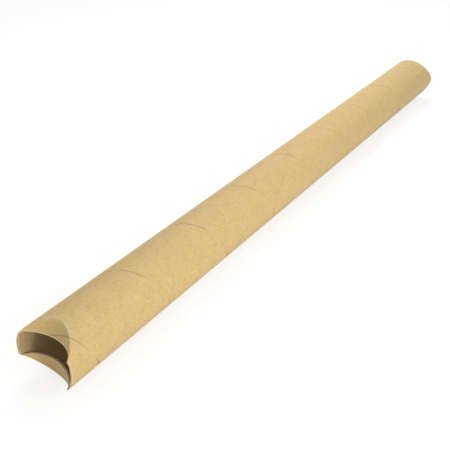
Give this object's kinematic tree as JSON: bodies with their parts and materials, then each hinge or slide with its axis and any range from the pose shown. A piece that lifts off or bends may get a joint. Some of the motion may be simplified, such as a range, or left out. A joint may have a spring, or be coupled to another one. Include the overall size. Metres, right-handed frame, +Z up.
{
  "type": "mailing tube",
  "caption": "Long round kraft board mailing tube, spiral wound, lying on its side, with curved flaps of its own wall folded in at both ends.",
  "frame": {"origin": "halfway along the tube, on the surface that the tube lies on, straight below its axis", "axes": "+X along the tube, from the end with the open mouth to the closed end; +Z up; +Y across the tube"},
  "size_m": [0.9144, 0.0671, 0.0671],
  "materials": {
    "kraft_board": "natural brown kraft paper board, matt, with faint fibres and a thin dark spiral seam"
  },
  "bodies": {
    "root": {"tube": "kraft_board"}
  },
  "joints": []
}
